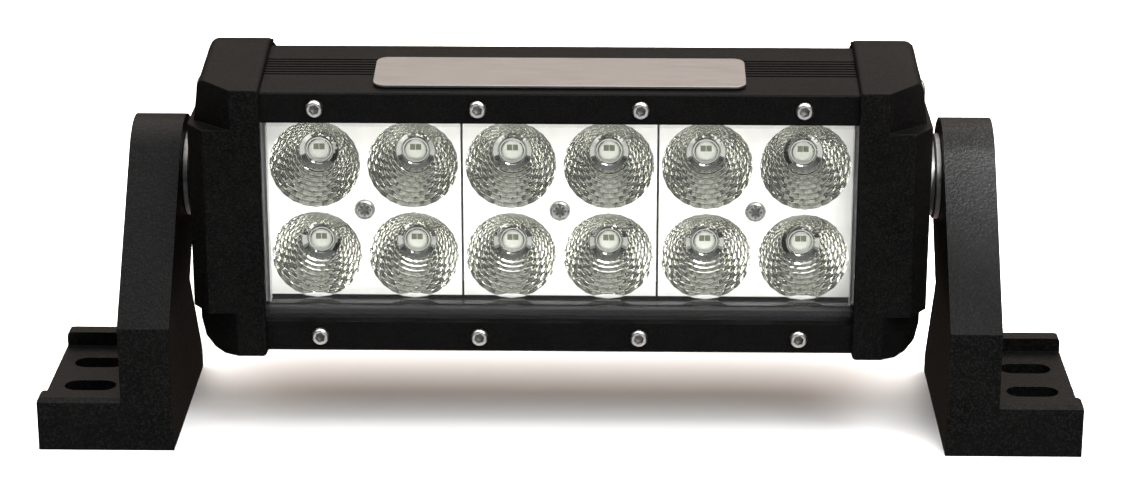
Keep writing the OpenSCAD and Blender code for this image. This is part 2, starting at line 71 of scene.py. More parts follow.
# where the head's own frame lies: its y starts at the bezel's face, its z at the tilt axis
BOLT_LOW, BOLT_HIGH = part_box("pivot_bolt_right")
BEZEL_FACE_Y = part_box("bezel_strip_top")[0].y / MM
TILT_Y = (BOLT_LOW.y + BOLT_HIGH.y) / 2 / MM - BEZEL_FACE_Y
TILT_Z = (BOLT_LOW.z + BOLT_HIGH.z) / 2 / MM

# driving sizes in millimetres, in the head's own frame
LED_PITCH = 25.4
ROW_GAP = 24.9
CUP_RIM_R = 11.8
CUP_BASE_R = 3.9
CUP_DEPTH = 12.7
PLATE_Y = 11.3
PLATE_HALF_W = 25.1
PLATE_HALF_H = 23.5
LED_Y = PLATE_Y + CUP_DEPTH + 0.3
LED_XS = [(i - 2.5) * LED_PITCH for i in range(6)]
LED_ZS = [-ROW_GAP / 2, ROW_GAP / 2]
LED_PLACES = [(x, z) for x in LED_XS for z in LED_ZS]
QUARTERS = [(sx, sz) for sx in (-1, 1) for sz in (-1, 1)]


def head_point(x, y, z):
    """A point given in the head's own frame, in metres of the row's frame."""
    return Vector((x, y + BEZEL_FACE_Y, z + TILT_Z)) * MM


# ---------------------------------------------------------------- mesh helpers

# in millimetres, square millimetres and degrees
WELD_GAP = 0.004
FLAT_ANGLE = 0.6
HARD_ANGLE = 32
SHALLOW_ANGLE = 3
LARGE_FACE = 8
BEVEL_ANGLE = 28
LATHE_SHARP_ANGLE = 35
# the index of a piece's second material
SECOND = 1


def add_object(name, data):
    """A new object in the scene."""
    made = bpy.data.objects.new(name, data)
    bpy.context.scene.collection.objects.link(made)
    return made


def cad_copy(node):
    """A bmesh of a CAD node with its triangles joined back into whole faces."""
    bm = bmesh.new()
    bm.from_mesh(NODES[node].data)
    bmesh.ops.remove_doubles(bm, verts=bm.verts, dist=WELD_GAP * MM)
    bmesh.ops.dissolve_limit(bm, angle_limit=math.radians(FLAT_ANGLE), verts=bm.verts, edges=bm.edges)
    return bm


def applied_mesh(piece):
    """The object's mesh with its modifiers applied, which then replaces the mesh it had."""
    graph = bpy.context.evaluated_depsgraph_get()
    mesh = bpy.data.meshes.new_from_object(piece.evaluated_get(graph))
    piece.modifiers.clear()
    piece.data = mesh
    mesh.name = piece.name
    return mesh


def crease(mesh):
    """Sharp where two faces turn hard, and where two large flat faces meet at a shallow angle."""
    bm = bmesh.new()
    bm.from_mesh(mesh)
    for edge in bm.edges:
        if len(edge.link_faces) != 2:
            continue
        angle = math.degrees(edge.calc_face_angle(0))
        large = min(face.calc_area() for face in edge.link_faces) > LARGE_FACE * MM ** 2
        if angle > HARD_ANGLE or (angle > SHALLOW_ANGLE and large):
            edge.smooth = False
    bm.to_mesh(mesh)
    bm.free()


def make_object(name, bm, materials, bevel=0.0, segments=2, clamp=True):
    """An object from a bmesh. With a bevel, its edges are rounded and its normals weighted."""
    mesh = bpy.data.meshes.new(name)
    bm.to_mesh(mesh)
    bm.free()
    for material in materials:
        mesh.materials.append(material)
    piece = add_object(name, mesh)
    if bevel:
        mesh.shade_smooth()
        edge = piece.modifiers.new("edge", "BEVEL")
        edge.width = bevel * MM
        edge.segments = segments
        edge.limit_method = "ANGLE"
        edge.angle_limit = math.radians(BEVEL_ANGLE)
        edge.miter_outer = "MITER_ARC"
        edge.use_clamp_overlap = clamp
        crease(applied_mesh(piece))
        weighted = piece.modifiers.new("weighted", "WEIGHTED_NORMAL")
        weighted.keep_sharp = True
        applied_mesh(piece)
    return piece


def install(piece, node):
    """The piece stands for a CAD node: it joins the node's body, and the node is hidden."""
    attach(piece, NODES[node]["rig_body"])
    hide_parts(node)


def build(node, bm, materials, **edges):
    """The finer piece that a bmesh makes for a CAD node. What edges holds says how they are rounded."""
    install(make_object(node + "_fine", bm, materials, **edges), node)


def round_edges(node, material, bevel, segments=2):
    """Replaces a CAD node by the same shape with rounded edges."""
    build(node, cad_copy(node), [material], bevel=bevel, segments=segments)


def hexagon(angle, radius):
    """A hexagon whose flats are that radius from the middle."""
    return radius / math.cos((angle + math.pi / 6) % (math.pi / 3) - math.pi / 6)


def cross(angle, radius):
    """A cross recess that reaches that radius."""
    turn = (angle + math.pi / 4) % (math.pi / 2) - math.pi / 4
    return min(radius / math.cos(turn), 0.27 * radius / max(abs(math.sin(turn)), 0.001))


def knurl(angle, radius):
    """A grip with sixteen soft ribs."""
    return radius * (1 + 0.035 * math.cos(16 * angle))


def lathe(bm, base, axis, profile, segments=48, closed=False):
    """Turns a profile about an axis through base.

    Its points are (radius, height) in millimetres, with the outline added where it isn't a circle.
    """
    axis = Vector(axis)
    side = axis.orthogonal().normalized()
    up = axis.cross(side)
    rings = []
    for radius, height, *outline in profile:
        centre = base + axis * height * MM
        if radius == 0:
            rings.append([bm.verts.new(centre)])
            continue
        ring = []
        for i in range(segments):
            turn = 2 * math.pi * i / segments
            reach = (outline[0](turn, radius) if outline else radius) * MM
            ring.append(bm.verts.new(centre + (side * math.cos(turn) + up * math.sin(turn)) * reach))
        rings.append(ring)
    faces = []
    pairs = list(zip(rings, rings[1:])) + ([(rings[-1], rings[0])] if closed else [])
    for low, high in pairs:
        for i in range(segments):
            j = (i + 1) % segments
            corners = [low[i % len(low)], low[j % len(low)], high[j % len(high)], high[i % len(high)]]
            faces.append(bm.faces.new(list(dict.fromkeys(corners))))
    bmesh.ops.recalc_face_normals(bm, faces=faces)
    for face in faces:
        face.smooth = True
    for edge in {edge for face in faces for edge in face.edges}:
        if len(edge.link_faces) == 2 and edge.calc_face_angle(0) > math.radians(LATHE_SHARP_ANGLE):
            edge.smooth = False
    return faces


def box_faces(bm, low, high):
    """A box between two corners given in metres."""
    made = bmesh.ops.create_cube(bm, size=1)["verts"]
    size = Vector(high) - Vector(low)
    for vert in made:
        vert.co = Vector([low[k] + (vert.co[k] + 0.5) * size[k] for k in range(3)])
    return list({face for vert in made for face in vert.link_faces})


# ---------------------------------------------------------------- material helpers

COAT_DARK = (0.0008, 0.0008, 0.0008)
COAT_LIGHT = (0.0014, 0.0014, 0.0013)
# the pale fleck colour is painted sparkle: specks of light glinting on the coat's grains, put into its
# colour
COAT_PAINTED_SPARKLE = (0.0045, 0.0042, 0.004)
STRAIGHT_ON_SHARE = 0.017


def new_material(name):
    """A node material, its tree and its shader."""
    material = bpy.data.materials.new(name)
    material.use_nodes = True
    return material, material.node_tree, material.node_tree.nodes["Principled BSDF"]


def object_place(tree, stretch=(1, 1, 1)):
    """Object coordinates, stretched along the axes."""
    place = tree.nodes.new("ShaderNodeTexCoord")
    mapping = tree.nodes.new("ShaderNodeMapping")
    mapping.inputs["Scale"].default_value = stretch
    tree.links.new(place.outputs["Object"], mapping.inputs["Vector"])
    return mapping.outputs["Vector"]


def noise(tree, place, size, detail=2, roughness=0.5):
    """Noise whose grains are about size millimetres across."""
    node = tree.nodes.new("ShaderNodeTexNoise")
    node.inputs["Scale"].default_value = 1 / (size * MM)
    node.inputs["Detail"].default_value = detail
    node.inputs["Roughness"].default_value = roughness
    tree.links.new(place, node.inputs["Vector"])
    return node.outputs["Fac"]


def ramp(tree, value, stops):
    """Colours along a value from 0 to 1."""
    node = tree.nodes.new("ShaderNodeValToRGB")
    elements = node.color_ramp.elements
    while len(elements) < len(stops):
        elements.new(0.5)
    for element, (place, colour) in zip(elements, stops):
        element.position = place
        element.color = (*colour, 1)
    tree.links.new(value, node.inputs["Fac"])
    return node.outputs["Color"]


def spread(tree, value, low, high, start=0.3, end=0.7):
    """Maps a value between start and end to the range from low to high."""
    node = tree.nodes.new("ShaderNodeMapRange")
    node.inputs["From Min"].default_value = start
    node.inputs["From Max"].default_value = end
    node.inputs["To Min"].default_value = low
    node.inputs["To Max"].default_value = high
    tree.links.new(value, node.inputs["Value"])
    return node.outputs["Result"]


def bump(tree, height, depth):
    """A relief of that depth in millimetres."""
    node = tree.nodes.new("ShaderNodeBump")
    node.inputs["Distance"].default_value = depth * MM
    node.inputs["Strength"].default_value = 1.0
    tree.links.new(height, node.inputs["Height"])
    return node.outputs["Normal"]


def grained(name, low, high, size, rough, grain, depth, metallic=0.0, stretch=(1, 1, 1)):
    """A material whose tone and gloss drift over patches of one size, with a fine grain in relief."""
    material, tree, shader = new_material(name)
    place = object_place(tree, stretch)
    drift = noise(tree, place, size)
    shader.inputs["Metallic"].default_value = metallic
    tree.links.new(ramp(tree, drift, [(0.3, low), (0.7, high)]), shader.inputs["Base Color"])
    tree.links.new(spread(tree, drift, *rough), shader.inputs["Roughness"])
    tree.links.new(bump(tree, noise(tree, place, grain), depth), shader.inputs["Normal"])
    return material


def textured_coat(name, grain, depth, rough, specular):
    """Black textured powder coat: a pebbled skin, with pale flecks in its colour as painted sparkle where
    light glints on its grains.
    """
    material, tree, shader = new_material(name)
    place = object_place(tree)
    pebbles = noise(tree, place, grain, detail=3, roughness=0.6)
    patches = noise(tree, place, 14 * grain)
    # painted sparkle: pale specks mixed into the colour where light would glint on the grains
    painted_sparkle = noise(tree, place, 0.62 * grain, detail=1)
    mix = tree.nodes.new("ShaderNodeMix")
    mix.data_type = "RGBA"
    tree.links.new(spread(tree, painted_sparkle, 0, 1, 0.5, 0.62), mix.inputs["Factor"])
    tree.links.new(ramp(tree, patches, [(0.35, COAT_DARK), (0.65, COAT_LIGHT)]), mix.inputs["A"])
    mix.inputs["B"].default_value = (*COAT_PAINTED_SPARKLE, 1)
    tree.links.new(mix.outputs["Result"], shader.inputs["Base Color"])
    tree.links.new(spread(tree, pebbles, *rough), shader.inputs["Roughness"])
    shader.inputs["Specular IOR Level"].default_value = specular
    tree.links.new(bump(tree, pebbles, depth), shader.inputs["Normal"])
    return material


def mirrored_share(tree, relief):
    """Share of light that clear plastic mirrors: little straight on, most at a grazing angle."""
    weight = tree.nodes.new("ShaderNodeLayerWeight")
    tree.links.new(relief, weight.inputs["Normal"])
    grazing = tree.nodes.new("ShaderNodeMath")
    grazing.operation = "POWER"
    grazing.inputs[1].default_value = 5.0
    tree.links.new(weight.outputs["Facing"], grazing.inputs[0])
    share = tree.nodes.new("ShaderNodeMath")
    share.operation = "MULTIPLY_ADD"
    share.inputs[1].default_value = 1 - STRAIGHT_ON_SHARE
    share.inputs[2].default_value = STRAIGHT_ON_SHARE
    tree.links.new(grazing.outputs["Value"], share.inputs[0])
    return share.outputs["Value"]


def clear_plastic(name, tint, haze, wave_depth):
    """Clear plastic seen straight through: a tinted transparent layer under a glossy skin."""
    material, tree, shader = new_material(name)
    place = object_place(tree)
    waves = bump(tree, noise(tree, place, 6), wave_depth)
    through = tree.nodes.new("ShaderNodeBsdfTransparent")
    through.inputs["Color"].default_value = (*tint, 1)
    gloss = tree.nodes.new("ShaderNodeBsdfGlossy")
    tree.links.new(spread(tree, noise(tree, place, 3), haze, 1.6 * haze), gloss.inputs["Roughness"])
    tree.links.new(waves, gloss.inputs["Normal"])
    mix = tree.nodes.new("ShaderNodeMixShader")
    tree.links.new(mirrored_share(tree, waves), mix.inputs["Fac"])
    tree.links.new(through.outputs["BSDF"], mix.inputs[1])
    tree.links.new(gloss.outputs["BSDF"], mix.inputs[2])
    tree.nodes.remove(shader)
    tree.links.new(mix.outputs["Shader"], tree.nodes["Material Output"].inputs["Surface"])
    return material


# ---------------------------------------------------------------- materials

coat = textured_coat("powder_coat", grain=0.5, depth=0.08, rough=(0.36, 0.52), specular=0.03)
cast_coat = textured_coat("bracket_coat", grain=0.8, depth=0.16, rough=(0.36, 0.5), specular=0.05)
lens_clear = clear_plastic("clear_lens", (0.985, 0.99, 0.985), haze=0.02, wave_depth=0.05)
dome_clear = clear_plastic("led_dome", (0.99, 1.0, 0.97), haze=0.04, wave_depth=0.02)

# each of these: two tones, size of its patches, range of roughness, size and depth of its grain
chrome = grained(
    "reflector_chrome", (0.62, 0.62, 0.58), (0.7, 0.7, 0.66), 5, (0.04, 0.09), 2.5, 0.004, metallic=1.0)
plate_satin = grained(
    "reflector_plate", (0.78, 0.77, 0.75), (0.86, 0.85, 0.83), 6, (0.38, 0.5), 0.5, 0.006, metallic=0.25)
stainless = grained(
    "stainless", (0.42, 0.41, 0.4), (0.6, 0.59, 0.57), 1.2, (0.2, 0.36), 0.3, 0.004, metallic=1.0)
# a darker steel that is painted shade: for the hollows of screw sockets and for the spacer washers in the
# gap between arm and cap
painted_shade_steel = grained(
    "painted_shade_steel", (0.1, 0.098, 0.095), (0.2, 0.195, 0.19), 2.5, (0.4, 0.55), 0.4, 0.006, metallic=0.9)
satin_aluminium = grained(
    "satin_aluminium", (0.125, 0.12, 0.115), (0.155, 0.148, 0.142), 0.4, (0.4, 0.5), 0.25, 0.003,
    metallic=0.9, stretch=(0.04, 1, 1))
brass = grained(
    "brass", (0.6, 0.43, 0.16), (0.72, 0.55, 0.25), 1, (0.22, 0.38), 0.3, 0.004, metallic=1.0)
lens_frosted = grained(
    "lens_end_wall", (0.45, 0.45, 0.46), (0.55, 0.55, 0.56), 2, (0.3, 0.5), 0.6, 0.01)
silicone = grained(
    "silicone", (0.02, 0.02, 0.02), (0.03, 0.03, 0.031), 2, (0.55, 0.75), 0.4, 0.01)
nylon = grained(
    "black_nylon", (0.012, 0.012, 0.012), (0.02, 0.02, 0.02), 3, (0.35, 0.55), 0.35, 0.012)
adhesive = grained(
    "adhesive", (0.004, 0.004, 0.004), (0.01, 0.01, 0.01), 0.8, (0.8, 0.95), 0.4, 0.03)
ceramic = grained(
    "led_ceramic", (0.88, 0.88, 0.86), (0.94, 0.94, 0.92), 0.6, (0.4, 0.55), 0.15, 0.004)
phosphor = grained(
    "led_phosphor", (0.17, 0.19, 0.13), (0.25, 0.27, 0.19), 0.3, (0.5, 0.7), 0.12, 0.006)
board_white = grained(
    "board_white", (0.8, 0.8, 0.77), (0.87, 0.87, 0.84), 4, (0.35, 0.5), 0.5, 0.005)
thermal_film = grained(
    "thermal_film", (0.46, 0.5, 0.57), (0.56, 0.6, 0.66), 3, (0.7, 0.85), 0.5, 0.02)
driver_green = grained(
    "driver_green", (0.02, 0.16, 0.06), (0.04, 0.24, 0.09), 5, (0.25, 0.4), 0.8, 0.01)
ferrite = grained(
    "ferrite", (0.03, 0.03, 0.033), (0.06, 0.06, 0.064), 1, (0.6, 0.8), 0.3, 0.02)
sleeve = grained(
    "capacitor_sleeve", (0.012, 0.014, 0.05), (0.02, 0.024, 0.08), 3, (0.25, 0.4), 0.8, 0.006)
epoxy = grained(
    "chip_epoxy", (0.012, 0.012, 0.013), (0.025, 0.025, 0.027), 0.8, (0.5, 0.7), 0.2, 0.01)
terminal_green = grained(
    "terminal_green", (0.015, 0.17, 0.06), (0.03, 0.24, 0.09), 3, (0.4, 0.55), 0.4, 0.01)
lead_red = grained(
    "lead_red", (0.36, 0.02, 0.018), (0.48, 0.035, 0.03), 2, (0.5, 0.65), 0.3, 0.01)

BY_SLOT = {
    "powder_coat": coat, "bracket_coat": cast_coat, "stainless": stainless, "reflector_chrome": chrome,
    "silicone": silicone, "black_nylon": nylon, "clear_lens": lens_clear, "board_white": board_white,
    "led_ceramic": ceramic, "led_phosphor": dome_clear, "thermal_film": thermal_film,
    "driver_green": driver_green, "brass": brass, "ferrite": ferrite, "capacitor_sleeve": sleeve,
    "chip_epoxy": epoxy, "terminal_green": terminal_green, "lead_red": lead_red,
    "satin_aluminium": satin_aluminium, "adhesive": adhesive,
}


def paint_frame():
    """Every CAD node gets its slot's material; most visible ones are then replaced by finer pieces."""
    for node, cad in NODES.items():
        cad.data.materials.clear()
        cad.data.materials.append(BY_SLOT[SLOT_OF[node]])


# ---------------------------------------------------------------- reflectors

CUP_SECTORS = 24
CUP_COLUMNS = 4
CUP_RINGS = 8
RING_LOOPS = 4
CUP_START_R = 5.1
FACET_BULGE = 0.03
RING_STEP = 0.12
RING_SWELL = 0.07
RING_LEDGE = 0.03
# the collar about the LED, from its mouth outwards: radius, and height in front of the LED board
COLLAR_MOUTH = (2.3, 0.74)
COLLAR = ((2.7, 0.78), (2.9, 1.15), (3.1, 0.85), (3.35, 0.85), (3.5, 1.2), (3.7, 0.9), (CUP_BASE_R, 1.0))
RIM_CHAMFER = 0.22
PLATE_FOLD = 1.6
SCREW_SEAT_R = 2.75
SCREW_SEAT_DEPTH = 0.6
SCREW_HOLE_R = 1.7
NEAR = 0.001


def cup_y(radius):
    """Depth of the cup's parabola at a radius."""
    share = (radius ** 2 - CUP_BASE_R ** 2) / (CUP_RIM_R ** 2 - CUP_BASE_R ** 2)
    return PLATE_Y + CUP_DEPTH * (1 - share)


def cup_loop(bm, x, z, radius, y, bulge=None, shift=0):
    """One closed loop of a cup: a polygon with slightly bulging sides, or a circle if bulge is None."""
    half = math.pi / CUP_SECTORS
    count = CUP_SECTORS * CUP_COLUMNS
    loop = []
    for i in range(count):
        turn = 2 * math.pi * i / count
        reach = radius
        if bulge is not None:
            off = ((i + shift) % CUP_COLUMNS) / CUP_COLUMNS * 2 - 1
            reach = radius * math.cos(half) / math.cos(off * half) - bulge * (1 - off * off)
        loop.append(bm.verts.new(head_point(x + reach * math.cos(turn), y, z + reach * math.sin(turn))))
    return loop


def join_loops(bm, low, high, towards, step=False, shift=None, material=0):
    """Quads between two loops, facing a point. The step and the lines between the facets are sharp."""
    count = len(low)
    for i in range(count):
        j = (i + 1) % count
        face = bm.faces.new([low[i], low[j], high[j], high[i]])
        face.normal_update()
        if face.normal.dot(towards - face.calc_center_median()) < 0:
            face.normal_flip()
        face.smooth = True
        face.material_index = material
    for i in range(count):
        if step:
            bm.edges.get([low[i], low[(i + 1) % count]]).smooth = False
        if shift is not None and (i + shift) % CUP_COLUMNS == 0:
            bm.edges.get([low[i], high[i]]).smooth = False


def cup_ring(bm, x, z, inner, outer, shift, low, front):
    """One ring of facets, swelling between its two edges. Returns its outer loop."""
    rise = cup_y(outer) + RING_STEP - cup_y(inner)
    chord = math.hypot(outer - inner, rise)
    for k in range(1, RING_LOOPS + 1):
        share = k / RING_LOOPS
        swell = RING_SWELL * chord * 4 * share * (1 - share)
        radius = inner + (outer - inner) * share + swell * rise / chord
        y = cup_y(inner) + rise * share - swell * (outer - inner) / chord
        high = cup_loop(bm, x, z, radius, y, FACET_BULGE, shift)
        join_loops(bm, low, high, front, step=k == 1, shift=shift)
        low = high
    return low


def cup(bm, x, z):
    """A stepped, faceted cup with a ridged collar about the LED. Returns the rim's loop."""
    front = head_point(x, PLATE_Y - 6, z)
    mouth_r, mouth_rise = COLLAR_MOUTH
    low = cup_loop(bm, x, z, mouth_r, LED_Y - mouth_rise)
    for radius, rise in COLLAR:
        high = cup_loop(bm, x, z, radius, LED_Y - rise)
        join_loops(bm, low, high, front, step=True)
        low = high
    inner = CUP_START_R
    high = cup_loop(bm, x, z, inner, cup_y(inner), FACET_BULGE, 0)
    join_loops(bm, low, high, front, step=True)
    low = high
    for ring in range(CUP_RINGS):
        shift = (ring % 2) * CUP_COLUMNS // 2
        outer = CUP_START_R + (CUP_RIM_R - CUP_START_R) * (ring + 1) / CUP_RINGS
        high = cup_ring(bm, x, z, inner, outer, shift, low, front)
        inner = outer + RING_LEDGE
        low = cup_loop(bm, x, z, inner, cup_y(outer), FACET_BULGE, CUP_COLUMNS // 2 - shift)
        join_loops(bm, high, low, front, step=True)
    rim = cup_loop(bm, x, z, CUP_RIM_R + RIM_CHAMFER, PLATE_Y, 0)
    join_loops(bm, low, rim, front, step=True, material=SECOND)
    return rim


def cup_strip(bm, x, z, degrees, start, end, width, lift):
    """A narrow channel between two rails that climbs a cup's wall across its rings."""
    turn = math.radians(degrees)
    section = ((-0.5, -0.4), (-0.5, lift), (-0.3, lift), (-0.26, 0.05),
               (0.26, 0.05), (0.3, lift), (0.5, lift), (0.5, -0.4))
    out = Vector((math.cos(turn), 0, math.sin(turn)))
    side = Vector((-math.sin(turn), 0, math.cos(turn)))
    steps = 10
    rows = []
    for i in range(steps + 1):
        radius = start + (end - start) * i / steps
        slope = 2 * radius * CUP_DEPTH / (CUP_RIM_R ** 2 - CUP_BASE_R ** 2)
        inward = (out * -slope + Vector((0, -1, 0))).normalized()
        middle = head_point(x, cup_y(radius), z) + out * radius * MM
        rows.append([bm.verts.new(middle + side * across * width * MM + inward * up * MM)
                     for across, up in section])
    faces = [bm.faces.new(rows[0]), bm.faces.new(rows[-1])]
    for low, high in zip(rows, rows[1:]):
        for i in range(len(low)):
            j = (i + 1) % len(low)
            faces.append(bm.faces.new([low[i], low[j], high[j], high[i]]))
    bmesh.ops.recalc_face_normals(bm, faces=faces)


def plate_outline(angle):
    """Where a ray from a cup's middle meets its quarter of the plate, counted from the plate's middle."""
    cx, cz = LED_PITCH / 2, ROW_GAP / 2
    dx, dz = math.cos(angle), math.sin(angle)
    reach = []
    if abs(dx) > 0.0001:
        reach.append(((PLATE_HALF_W - cx) if dx > 0 else cx) / abs(dx))
    if abs(dz) > 0.0001:
        reach.append(((PLATE_HALF_H - cz) if dz > 0 else cz) / abs(dz))
    far = min(reach)
    if math.hypot(cx + dx * far, cz + dz * far) < SCREW_SEAT_R:
        along = cx * dx + cz * dz
        far = -along - math.sqrt(along ** 2 - cx ** 2 - cz ** 2 + SCREW_SEAT_R ** 2)
    return cx + dx * far, cz + dz * far


def plate_corner(sx, sz, first, second):
    """The corner between two points of the quarter's outline, if they are on different edges of it."""
    ends = (first, second)
    on_end = [abs(abs(x) - PLATE_HALF_W) < NEAR for x, z in ends]
    on_middle_x = [abs(x) < NEAR for x, z in ends]
    on_top = [abs(abs(z) - PLATE_HALF_H) < NEAR for x, z in ends]
    on_middle_z = [abs(z) < NEAR for x, z in ends]
    on_seat = [abs(math.hypot(x, z) - SCREW_SEAT_R) < NEAR for x, z in ends]
    corners = ((on_end, on_top, PLATE_HALF_W, PLATE_HALF_H), (on_end, on_middle_z, PLATE_HALF_W, 0),
               (on_top, on_middle_x, 0, PLATE_HALF_H), (on_seat, on_middle_z, SCREW_SEAT_R, 0),
               (on_seat, on_middle_x, 0, SCREW_SEAT_R))
    for one, other, x, z in corners:
        if (one[0] and other[1]) or (other[0] and one[1]):
            return [(x * sx, z * sz)]
    return []


def quarter_plate(bm, middle_x, sx, sz, rim):
    """The flat between one cup's rim and its quarter of the plate's outline."""
    count = len(rim)
    ends = []
    cx, cz = LED_PITCH / 2 * sx, ROW_GAP / 2 * sz
    for vert in rim:
        angle = math.atan2(vert.co.z / MM - TILT_Z - cz, vert.co.x / MM - middle_x - cx)
        x, z = plate_outline(math.atan2(math.sin(angle) * sz, math.cos(angle) * sx))
        ends.append((x * sx, z * sz))
    outer = [bm.verts.new(head_point(middle_x + x, PLATE_Y, z)) for x, z in ends]
    for i in range(count):
        j = (i + 1) % count
        between = plate_corner(sx, sz, ends[i], ends[j])
        extra = [bm.verts.new(head_point(middle_x + x, PLATE_Y, z)) for x, z in between]
        face = bm.faces.new([rim[i], outer[i], *extra, outer[j], rim[j]])
        face.material_index = SECOND
        face.normal_update()
        if face.normal.y > 0:
            face.normal_flip()


def screw_seat(bm, middle_x):
    """The counterbore in the middle of a plate, with the hole in its floor."""
    profile = [(SCREW_SEAT_R, 0), (SCREW_SEAT_R, SCREW_SEAT_DEPTH),
               (SCREW_HOLE_R, SCREW_SEAT_DEPTH), (SCREW_HOLE_R, PLATE_FOLD)]
    faces = lathe(bm, head_point(middle_x, PLATE_Y, 0), (0, 1, 0), profile, segments=96)
    for face in faces:
        face.material_index = SECOND
        face.smooth = False


def fold_back(bm, middle_x):
    """Turns the plate's outer edges back."""
    front = head_point(0, PLATE_Y + 0.7, 0).y
    border = [edge for edge in bm.edges if edge.is_boundary and edge.verts[0].co.y < front
              and max(abs(v.co.x / MM - middle_x) for v in edge.verts) > 5]
    made = bmesh.ops.extrude_edge_only(bm, edges=border)["geom"]
    for item in made:
        if isinstance(item, bmesh.types.BMVert):
            item.co.y += PLATE_FOLD * MM
        if isinstance(item, bmesh.types.BMFace):
            item.material_index = SECOND


def reflector(module, place):
    """Four cups in one plate, each with a channel up its wall and a short one across from it."""
    bm = bmesh.new()
    middle_x = place * 2 * LED_PITCH
    places = [(middle_x + sx * LED_PITCH / 2, sz * ROW_GAP / 2) for sx, sz in QUARTERS]
    for (sx, sz), (x, z) in zip(QUARTERS, places):
        quarter_plate(bm, middle_x, sx, sz, cup(bm, x, z))
    screw_seat(bm, middle_x)
    bmesh.ops.remove_doubles(bm, verts=bm.verts, dist=0.003 * MM)
    fold_back(bm, middle_x)
    for x, z in places:
        cup_strip(bm, x, z, 45, start=CUP_BASE_R + 0.2, end=CUP_RIM_R - 2.2, width=1.4, lift=0.35)
        cup_strip(bm, x, z, 225, start=CUP_BASE_R + 0.5, end=CUP_START_R + 1.2, width=0.8, lift=0.15)
    build("reflector_" + module, bm, [chrome, plate_satin])


def screw(bm, base, profile, socket_r):
    """A screw facing forwards. The faces of its drive socket, within socket_r, get the second material, a
    darker steel painted in as the shade inside the socket.
    """
    axis = Vector((0, 1, 0))
    for face in lathe(bm, base, axis, profile):
        off = face.calc_center_median() - base
        if (off - axis * off.dot(axis)).length < socket_r * MM:
            face.material_index = SECOND


def reflector_screws():
    """Pan heads with cross recesses, one in the middle of each plate."""
    bm = bmesh.new()
    profile = [(0, 0.9), (1.5, 0.9), (1.5, 0), (2.5, 0), (2.6, -0.15), (2.55, -0.7), (2.3, -1.0),
               (1.9, -1.16), (1.75, -1.18), (1.55, -1.2, cross), (1.4, -0.5, cross), (0, -0.3)]
    for place in MODULES.values():
        screw(bm, head_point(place * 2 * LED_PITCH, PLATE_Y + SCREW_SEAT_DEPTH, 0), profile, socket_r=1.35)
    build("reflector_screws", bm, [stainless, painted_shade_steel])


# ---------------------------------------------------------------- LEDs

# fronts, backs and bases are counted forwards from the LED board
PACKAGE_HALF_W = 2.5
PACKAGE_THICK = 0.7
DIE_WIDTH = 1.4
DIE_HEIGHT = 1.58
DIE_GAP = 0.07
DIE_BOTTOM_Z = 0.02
DIE_FRONT = 0.86
DIE_BACK = 0.6
DOME_R = 2.15
DOME_BASE = 0.62
DOME_STEPS = 12


def led_packages():
    """White ceramic bases, each with two dies side by side above its middle."""
    bm = bmesh.new()
    for x, z in LED_PLACES:
        box_faces(bm, head_point(x - PACKAGE_HALF_W, LED_Y - PACKAGE_THICK, z - PACKAGE_HALF_W),
                  head_point(x + PACKAGE_HALF_W, LED_Y, z + PACKAGE_HALF_W))
        for side in (-1, 1):
            left, right = sorted((side * DIE_GAP, side * (DIE_GAP + DIE_WIDTH)))
            bottom = z + DIE_BOTTOM_Z
            die = box_faces(bm, head_point(x + left, LED_Y - DIE_FRONT, bottom),
                            head_point(x + right, LED_Y - DIE_BACK, bottom + DIE_HEIGHT))
            for face in die:
                face.material_index = SECOND
    build("led_packages", bm, [ceramic, phosphor], bevel=0.09)


def led_domes():
    """Clear half spheres, with their feet just inside the ceramic."""
    bm = bmesh.new()
    turns = [math.pi / 2 * i / DOME_STEPS for i in range(DOME_STEPS)]
    profile = [(0, 0), *((DOME_R * math.cos(turn), DOME_R * math.sin(turn)) for turn in turns), (0, DOME_R)]
    for x, z in LED_PLACES:
        lathe(bm, head_point(x, LED_Y - DOME_BASE, z), (0, -1, 0), profile, segments=32)
    build("led_domes", bm, [dome_clear])


# ---------------------------------------------------------------- head

# how far a cap's outer top edges and its screws' seats lie inside its side pad
CAP_TOP_INSET = 3.1
CAP_SCREW_INSET = 4
CAP_EDGE_FROM_Z = 24.5
CAP_LIP_ROUND = 1.1
CAP_OUTER_ROUND = 2.2
CAP_SCREW_YZ = [(15, 31), (15, -31), (60, 11.8), (60, -11.8)]
LENS_END_X = 77.5
LENS_LIP_LOW = (75.95, 9.6, -25.2)
LENS_LIP_HIGH = (77.2, 10.9, 25.2)
BEZEL_SCREW_R = 2.3
BEZEL_SCREW_COUNT = 4


def round_chosen(bm, chosen, radius, segments, clamp=False):
    """Rounds some of the edges to a radius."""
    bmesh.ops.bevel(bm, geom=chosen, offset=radius * MM, segments=segments, profile=0.5, affect="EDGES",
                    clamp_overlap=clamp)


def cap_edges(bm, reach, outward):
    """The edges between the top or bottom and a side face at about that distance from the middle."""
    chosen = []
    for edge in bm.edges:
        if len(edge.link_faces) != 2:
            continue
        sides = [f for f in edge.link_faces if f.normal.x * f.calc_center_median().x * outward > 0
                 and abs(f.normal.x) > 0.8]
        tops = [f for f in edge.link_faces if abs(f.normal.z) > 0.3 and abs(f.normal.x) < 0.5]
        near = all(abs(abs(v.co.x) / MM - reach) < 1.2 for v in edge.verts)
        high = min(abs(v.co.z / MM - TILT_Z) for v in edge.verts) > CAP_EDGE_FROM_Z
        outside = all(f.normal.z * (f.calc_center_median().z / MM - TILT_Z) > 0 for f in tops)
        if sides and tops and near and high and outside:
            chosen.append(edge)
    return chosen


